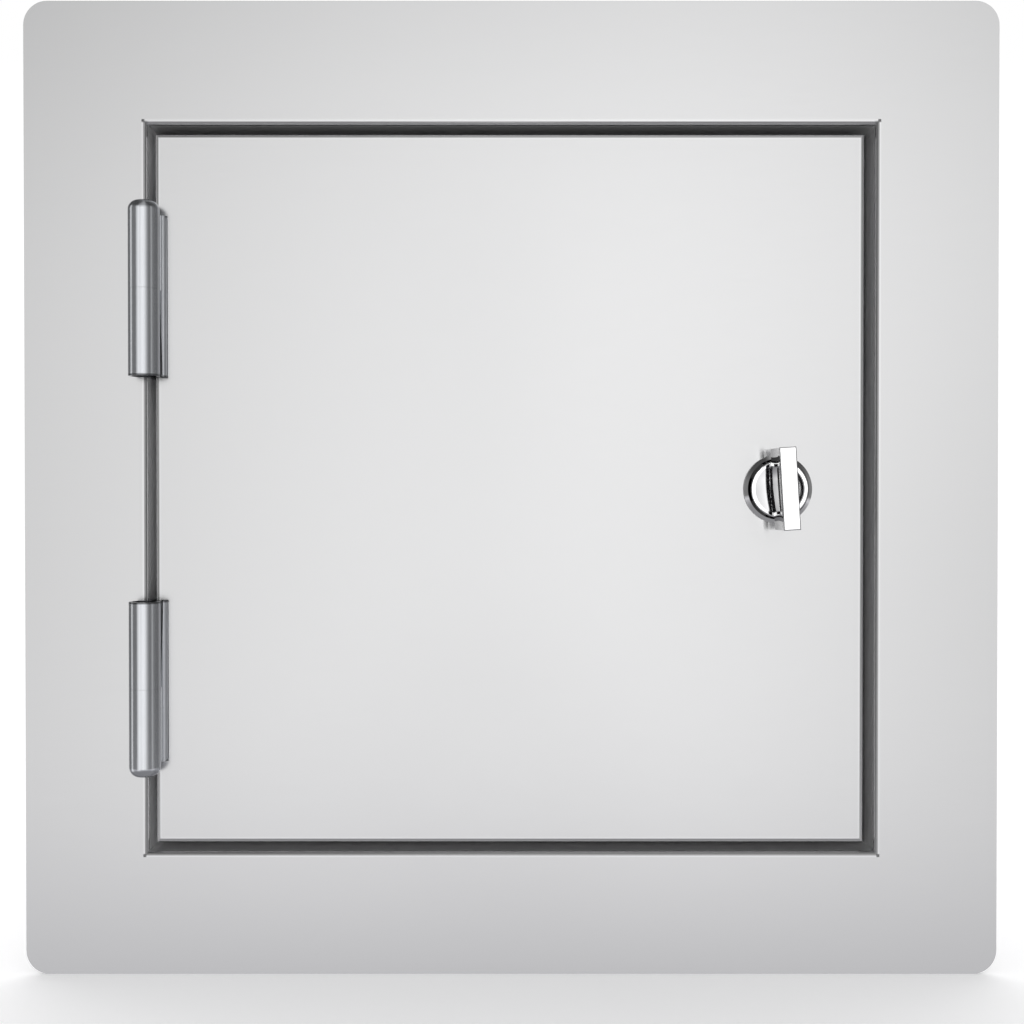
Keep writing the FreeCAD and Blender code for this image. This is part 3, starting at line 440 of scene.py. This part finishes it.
def satin_steel(finish, name, painted_fold_shading, centre=0.0):
    """Sheet steel with a fine level grain and a faint drift of tone, with painted shade and painted
    highlights at its folds, jambs and corner nicks; dull behind its folds, where its tone is painted darker
    just behind the fold and lighter deeper in.
    """
    coat = Coat(name)
    x, depth, z = coat.axes(coat.place)
    x = coat.math("SUBTRACT", x, centre)
    tone = coat.drift(SHEET_DRIFT, shaded(finish.colour, -finish.cloud), finish.colour, detail=1.0)
    sides = [coat.math("ABSOLUTE", side) for side in (x, z)]
    # Painted shade in the folds and painted highlight lines beside them.
    tone = coat.times(tone, coat.profile(coat.math("MAXIMUM", *sides), painted_fold_shading))
    # Painted light on the left and right jambs, painted shade on the top one and painted light on the fold
    # over it.
    for axis, place, level in JAMB_PAINTED_LIGHT:
        across, along = (x, z) if axis == "X" else (z, x)
        inside = coat.math("MULTIPLY", coat.band(across, *place), coat.band(along, -finish.jamb, finish.jamb))
        tone = coat.times(tone, coat.spread(inside, 1.0, level, 0.0, 1.0))
    # Painted shade at the nicks by the opening's corners.
    corner = [coat.math("ABSOLUTE", coat.math("SUBTRACT", side, finish.nick_place)) for side in sides]
    tone = coat.times(tone, coat.profile(coat.math("MAXIMUM", *corner), NICK_PAINTED_SHADE))
    start, end, deep = finish.mill_start, finish.mill_end, finish.deep
    # The mill finish's lower mirror share is real; its tone, darker just behind the folds and lighter deeper
    # in the gap, is painted shade and painted light.
    shade = ((0.0, 1.0), (start, finish.mill_painted_shade), (end, finish.mill_painted_light), (deep, finish.deep_tone))
    metal = ((0.0, 1.0), (start, finish.mill_metal), (end, finish.mill_metal), (deep, finish.deep_metal))
    coat.feed("Base Color", coat.times(tone, coat.profile(depth, shade)))
    coat.feed("Metallic", coat.profile(depth, metal))
    grain = coat.noise(SHEET_GRAIN, detail=3.0, roughness=0.6)
    smooth, rough = finish.roughness - finish.grain, finish.roughness + finish.grain
    coat.feed("Roughness", coat.spread(grain, smooth, rough))
    return coat.material


def polished_steel(finish):
    """Hinge steel, buffed along the barrel, with a duller leaf."""
    coat = Coat("polished_steel")
    coat.feed("Metallic", 1.0)
    x, _, z = coat.axes(coat.place)
    tone = coat.drift(HINGE_DRIFT, shaded(finish.colour, -finish.cloud), finish.colour)
    # Painted shade at the hinges' open ends.
    coat.feed("Base Color", coat.times(tone, coat.profile(coat.math("ABSOLUTE", z), HINGE_MOUTH_PAINTED_SHADE)))
    marks = coat.noise(HINGE_MARKS, detail=4.0, roughness=0.65)
    polish = coat.spread(marks, finish.roughness, finish.roughness + finish.scratches)
    dull = coat.spread(x, 0.0, finish.leaf_roughness, finish.leaf, finish.leaf + SOFT)
    coat.feed("Roughness", coat.math("MAXIMUM", polish, dull))
    return coat.material


def chrome_plate(finish, axis, front):
    """Chrome with faint finger marks, with painted shade on the wing's sides and a painted shadow in the
    groove round the rotor.
    """
    coat = Coat("chrome_plate")
    coat.feed("Metallic", 1.0)
    tone = coat.drift(CHROME_DRIFT, shaded(finish.colour, -finish.cloud), finish.colour)
    x, depth, z = coat.axes(coat.place)
    x = coat.math("SUBTRACT", x, axis)
    radius = coat.math("SQRT", coat.math("ADD", coat.math("MULTIPLY", x, x), coat.math("MULTIPLY", z, z)))
    # Painted shade on the wing's sides, leaving a thin strip along its front at full tone.
    edge, root = front + finish.edge, front + finish.wing
    side = coat.profile(depth, ((front, 1.0), (edge, 1.0), (edge + CRISP, finish.side), (root, finish.side),
                                (root + SOFT, 1.0), (LATCH_REACH, 1.0)))
    wing = coat.spread(depth, 1.0, 0.0, root, root + SOFT)
    # Painted shadow in the groove round the rotor, kept off the wing.
    inner, outer = finish.groove, finish.groove + finish.groove_width
    groove = coat.profile(radius, ((0.0, 1.0), (inner, 1.0), (inner + SHARP, finish.groove_painted_shadow),
                                   (outer, finish.groove_painted_shadow), (outer + CRISP, 1.0), (LATCH_REACH, 1.0)))
    coat.feed("Base Color", coat.times(tone, coat.times(side, coat.math("MAXIMUM", groove, wing))))
    marks = coat.noise(CHROME_MARKS, detail=5.0, roughness=0.6)
    smudged = finish.roughness + finish.smudges
    coat.feed("Roughness", coat.spread(marks, finish.roughness, smudged, start=0.5, end=0.8))
    return coat.material


def zinc_plate(finish):
    """Dull plate of the fasteners, with passivated patches."""
    coat = Coat("zinc_plate")
    coat.feed("Metallic", 1.0)
    coat.feed("Base Color", coat.drift(ZINC_PATCHES, finish.tint, finish.colour, detail=3.0))
    grains = coat.noise(ZINC_GRAINS, detail=3.0)
    coat.feed("Roughness", coat.spread(grains, finish.smooth, finish.rough))
    coat.relief(grains, finish.grains)
    return coat.material


def black_rubber(sizes):
    """Moulded rubber with a dusty bloom."""
    coat = Coat("black_rubber")
    dusty = shaded(sizes.colour, sizes.bloom)
    coat.feed("Base Color", coat.drift(RUBBER_BLOOM, sizes.colour, dusty, detail=4.0))
    pores = coat.noise(RUBBER_PORES)
    coat.feed("Roughness", coat.spread(pores, sizes.smooth, sizes.rough))
    coat.relief(pores, sizes.pores)
    return coat.material


def cad(nodes):
    """The CAD's own objects of some nodes."""
    return [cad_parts[name] for name in nodes]


def dress(nodes, material):
    """Gives CAD nodes a finish."""
    for obj in cad(nodes):
        for slot in obj.material_slots:
            slot.material = material


# Modelling by hand


def deselect():
    bpy.ops.object.select_all(action="DESELECT")


def pick(obj, kind, chosen):
    """Selects the parts of a mesh in edit mode that a test chooses: verts, edges or faces."""
    mesh = bmesh.from_edit_mesh(obj.data)
    for group in (mesh.verts, mesh.edges, mesh.faces):
        for part in group:
            part.select = False
    for part in getattr(mesh, kind):
        if chosen(part):
            part.select_set(True)
    mesh.select_flush_mode()
    bmesh.update_edit_mesh(obj.data)


def middle(part):
    """Middle of an edge or a face."""
    return sum((vert.co for vert in part.verts), Vector()) / len(part.verts)


def near(a, b, reach=1e-5):
    return abs(a - b) < reach


def settle(obj, body, slot, *nodes):
    """Puts a finished piece on its body, in place of the CAD nodes it stands for."""
    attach(obj, body)
    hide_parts(*nodes)


class ACCESS_OT_sheet_metal(bpy.types.Operator):
    """Satin steel on the frame, the stops, the door's skin and its liner"""

    bl_idname = "access_door.sheet_metal"
    bl_label = "Sheet metal"
    bl_options = {"REGISTER", "UNDO"}

    def execute(self, context):
        finish = context.scene.access_door.sheet
        dress(SHEET_NODES, satin_steel(finish, "satin_frame", FRAME_FOLD_PAINTED_SHADING))
        low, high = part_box("door_skin")
        dress(SKIN_NODES, satin_steel(finish, "satin_door", DOOR_FOLD_PAINTED_SHADING, (low.x + high.x) / 2))
        return {"FINISHED"}


class ACCESS_OT_hinges(bpy.types.Operator):
    """Polished steel on both hinges"""

    bl_idname = "access_door.hinges"
    bl_label = "Hinges"
    bl_options = {"REGISTER", "UNDO"}

    def execute(self, context):
        dress(HINGE_NODES, polished_steel(context.scene.access_door.hinge))
        return {"FINISHED"}


class ACCESS_OT_latch(bpy.types.Operator):
    """Chrome on the wing and its housing"""

    bl_idname = "access_door.latch"
    bl_label = "Latch"
    bl_options = {"REGISTER", "UNDO"}

    def execute(self, context):
        low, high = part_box("latch_housing")
        axis, front = (low.x + high.x) / 2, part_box("wing_knob")[0].y
        dress(LATCH_NODES, chrome_plate(context.scene.access_door.latch, axis, front))
        return {"FINISHED"}


class ACCESS_OT_fasteners(bpy.types.Operator):
    """Zinc plate on the rivets, screws, studs, nuts, washers and cam"""

    bl_idname = "access_door.fasteners"
    bl_label = "Fasteners"
    bl_options = {"REGISTER", "UNDO"}

    def execute(self, context):
        dress(FASTENER_NODES, zinc_plate(context.scene.access_door.fastener))
        return {"FINISHED"}


class ACCESS_OT_seal(bpy.types.Operator):
    """Rubber strips with two lips, mitred round the opening"""

    bl_idname = "access_door.seal"
    bl_label = "Seal"
    bl_options = {"REGISTER", "UNDO"}

    def execute(self, context):
        sizes = context.scene.access_door.seal
        rubber = black_rubber(sizes)
        dress(SMALL_RUBBER_NODES, rubber)
        strip = self.strip(sizes)
        strip.data.materials.append(rubber)
        for side, degrees in SIDES.items():
            piece = strip.copy()
            piece.data = strip.data.copy()
            piece.name = f"lip_seal_{side}"
            context.collection.objects.link(piece)
            piece.data.transform(Matrix.Rotation(math.radians(degrees), 4, "Y"))
            settle(piece, "frame", "black_rubber", f"seal_{side}")
        bpy.data.objects.remove(strip)
        return {"FINISHED"}

    def strip(self, sizes):
        """The bottom strip, from a block with rounded front edges and a hollow along its front."""
        low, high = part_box("seal_bottom")
        deselect()
        bpy.ops.mesh.primitive_cube_add(size=1.0, location=(low + high) / 2, scale=high - low)
        bpy.ops.object.transform_apply(location=True, rotation=True, scale=True)
        strip = bpy.context.active_object
        bpy.ops.object.mode_set(mode="EDIT")
        pick(strip, "edges", lambda edge: near(middle(edge).y, low.y) and near(middle(edge).x, 0.0))
        bpy.ops.mesh.bevel(offset=sizes.edge, segments=sizes.segments, profile=0.5)
        pick(strip, "faces", lambda face: near(middle(face).y, low.y))
        width = high.z - low.z - 2 * sizes.edge
        bpy.ops.mesh.inset(thickness=(width - sizes.groove) / 2, use_even_offset=True)
        bpy.ops.mesh.extrude_region_move(TRANSFORM_OT_translate={"value": (0, sizes.groove_depth, 0)})
        bpy.ops.transform.resize(value=(1.0, 1.0, sizes.groove_floor))
        for end, turn in ((high.x, 1), (low.x, -1)):
            bpy.ops.mesh.select_all(action="SELECT")
            bpy.ops.mesh.bisect(plane_co=(end, 0, low.z), plane_no=(turn, 0, 1), use_fill=True,
                                clear_outer=True)
        bpy.ops.object.mode_set(mode="OBJECT")
        bpy.ops.object.shade_smooth_by_angle(angle=sizes.crease)
        return strip


class ACCESS_OT_stage(bpy.types.Operator):
    """Pale floor, soft lights and the camera"""

    bl_idname = "access_door.stage"
    bl_label = "Stage"
    bl_options = {"REGISTER", "UNDO"}

    def execute(self, context):
        scene, stage = context.scene, context.scene.access_door.stage
        scene.view_settings.view_transform = "Standard"
        self.surroundings(scene, stage)
        floor = self.floor(stage)
        self.camera_card(stage)
        self.lights(stage, floor)
        self.camera(scene, stage)
        return {"FINISHED"}

    def surroundings(self, scene, stage):
        """A world whose brightness depends on the way round and the way up, and whose background is white."""
        world = bpy.data.worlds.new("studio")
        scene.world = world
        world.use_nodes = True
        tree = Tree(world.node_tree, "BACKGROUND")
        x, y, z = tree.axes(tree.nodes.new("ShaderNodeTexCoord").outputs["Generated"])
        rise = tree.math("ARCSINE", z)
        turn = tree.math("ARCTAN2", x, tree.math("MULTIPLY", y, -1.0))
        turn = tree.math("MULTIPLY_ADD", rise, -stage.lean, turn)
        tone, level = (tree.profile(angle, [(math.radians(degrees), share) for degrees, share in stops])
                       for angle, stops in ((turn, ROUND), (rise, UP)))
        low = tree.spread(rise, 0.0, 1.0, math.radians(stage.even_start), math.radians(stage.even_end))
        tone = tree.blend(low, tone, stage.even_colour)
        path = tree.nodes.new("ShaderNodeLightPath").outputs
        mirrored = tree.math("MULTIPLY", path["Is Glossy Ray"], tree.spread(y, 0.0, 1.0, *BACKGROUND))
        straight = tree.math("MAXIMUM", path["Is Camera Ray"], path["Is Transmission Ray"])
        shown = tree.math("MAXIMUM", straight, mirrored)
        tree.feed("Color", tree.blend(shown, tone, WHITE))
        tree.feed("Strength", tree.math("MAXIMUM", shown, level))

    def floor(self, stage):
        """Pale floor under the part, which the metal doesn't mirror."""
        deselect()
        bpy.ops.mesh.primitive_plane_add(size=FLOOR_SIZE, location=(0, 0, CAD_BOX[0].z))
        floor = bpy.context.active_object
        floor.name = "floor"
        coat = Coat("floor")
        coat.feed("Roughness", 0.8)
        pale = stage.floor_colour
        coat.feed("Base Color", coat.drift(FLOOR_DRIFT, shaded(pale, -stage.floor_cloud), pale))
        coat.feed("Emission Color", WHITE)
        coat.feed("Emission Strength", stage.floor_glow)
        floor.data.materials.append(coat.material)
        floor.visible_glossy = False
        return floor

    def camera_card(self, stage):
        """Dark front of the camera, which the bright pieces mirror."""
        deselect()
        bpy.ops.mesh.primitive_plane_add(size=1.0, location=stage.card_place, rotation=(math.pi / 2, 0, 0))
        bpy.ops.transform.resize(value=(stage.card_size[0], 1.0, stage.card_size[1]))
        bpy.ops.object.transform_apply(location=True, rotation=True, scale=True)
        card = bpy.context.active_object
        card.name = "camera_card"
        coat = Coat("camera_black")
        coat.feed("Roughness", 0.9)
        coat.feed("Specular IOR Level", 0.0)
        coat.feed("Base Color", coat.drift(CARD_DRIFT, *CARD_TONES))
        card.data.materials.append(coat.material)
        card.visible_camera = False

    def lights(self, stage, floor):
        """A front light for the sheets, panels for the hinges and the latch, and a soft sun for the floor."""
        hinges, latch = cad(HINGE_NODES), cad(LATCH_NODES)
        front = Vector(stage.card_place) + Vector((0, CARD_GAP, 0))
        self.panel("front_light", front, front + Vector((0, 1, 0)), stage.card_size, stage.front,
                   cad(SHEET_NODES + SKIN_NODES) + hinges)
        pins = Vector((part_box("upper_hinge_pin")[0].x, 0, 0))
        for name, degrees, width, level in HINGE_PANELS:
            way = Vector((math.sin(math.radians(degrees)), -math.cos(math.radians(degrees)), 0))
            self.panel(name, pins + way * HINGE_PANEL_REACH, pins, (width, HINGE_PANEL_HEIGHT), level, hinges)
        for panel in LATCH_PANELS:
            self.panel(*panel, latch)
        deselect()
        bpy.ops.object.light_add(type="SUN", rotation=(FLOOR_LIGHT_TILT, 0, 0))
        sun = bpy.context.active_object
        sun.name = "floor_light"
        sun.data.angle = FLOOR_LIGHT_SPREAD
        sun.data.energy = stage.floor_light * math.pi
        self.only(sun, [floor])

    def panel(self, name, place, aim, size, level, receivers):
        """A soft light of a given brightness that falls only on the pieces it is meant for."""
        deselect()
        turn = (Vector(aim) - Vector(place)).to_track_quat("-Z", "Y").to_euler()
        bpy.ops.object.light_add(type="AREA", location=place, rotation=turn)
        lamp = bpy.context.active_object
        lamp.name = name
        lamp.data.shape = "RECTANGLE"
        lamp.data.size, lamp.data.size_y = size
        lamp.data.energy = level * math.pi * size[0] * size[1]
        self.only(lamp, receivers)

    def only(self, lamp, receivers):
        group = bpy.data.collections.new(f"{lamp.name}_receivers")
        for obj in receivers:
            group.objects.link(obj)
        lamp.light_linking.receiver_collection = group

    def camera(self, scene, stage):
        """Camera at the photograph's viewing angle."""
        deselect()
        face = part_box("frame")[0].y
        bpy.ops.object.camera_add(location=(stage.aside, face - stage.distance, stage.height),
                                  rotation=(math.pi / 2 - stage.tilt, 0, 0))
        camera = bpy.context.active_object
        camera.data.sensor_width = SENSOR
        camera.data.lens = stage.lens
        camera.data.clip_start = NEAR_CLIP
        scene.camera = camera


STEPS = (ACCESS_OT_sheet_metal, ACCESS_OT_hinges, ACCESS_OT_latch, ACCESS_OT_fasteners, ACCESS_OT_seal,
         ACCESS_OT_stage)


class ACCESS_PT_door(bpy.types.Panel):
    """Lists the steps that dress the door"""

    bl_label = "Access door"
    bl_space_type = "VIEW_3D"
    bl_region_type = "UI"
    bl_category = "Access door"

    def draw(self, context):
        for step in STEPS:
            self.layout.operator(step.bl_idname)


CLASSES = (SheetFinish, HingeFinish, LatchFinish, FastenerFinish, SealSizes, StageSettings,
           AccessDoorSettings, *STEPS, ACCESS_PT_door)


def register():
    for cls in CLASSES:
        bpy.utils.register_class(cls)
    bpy.types.Scene.access_door = PointerProperty(type=AccessDoorSettings)


def unregister():
    del bpy.types.Scene.access_door
    for cls in reversed(CLASSES):
        bpy.utils.unregister_class(cls)


def main():
    register()
    bpy.ops.access_door.sheet_metal()
    bpy.ops.access_door.hinges()
    bpy.ops.access_door.latch()
    bpy.ops.access_door.fasteners()
    bpy.ops.access_door.seal()
    bpy.ops.access_door.stage()


if __name__ == "__main__":
    main()
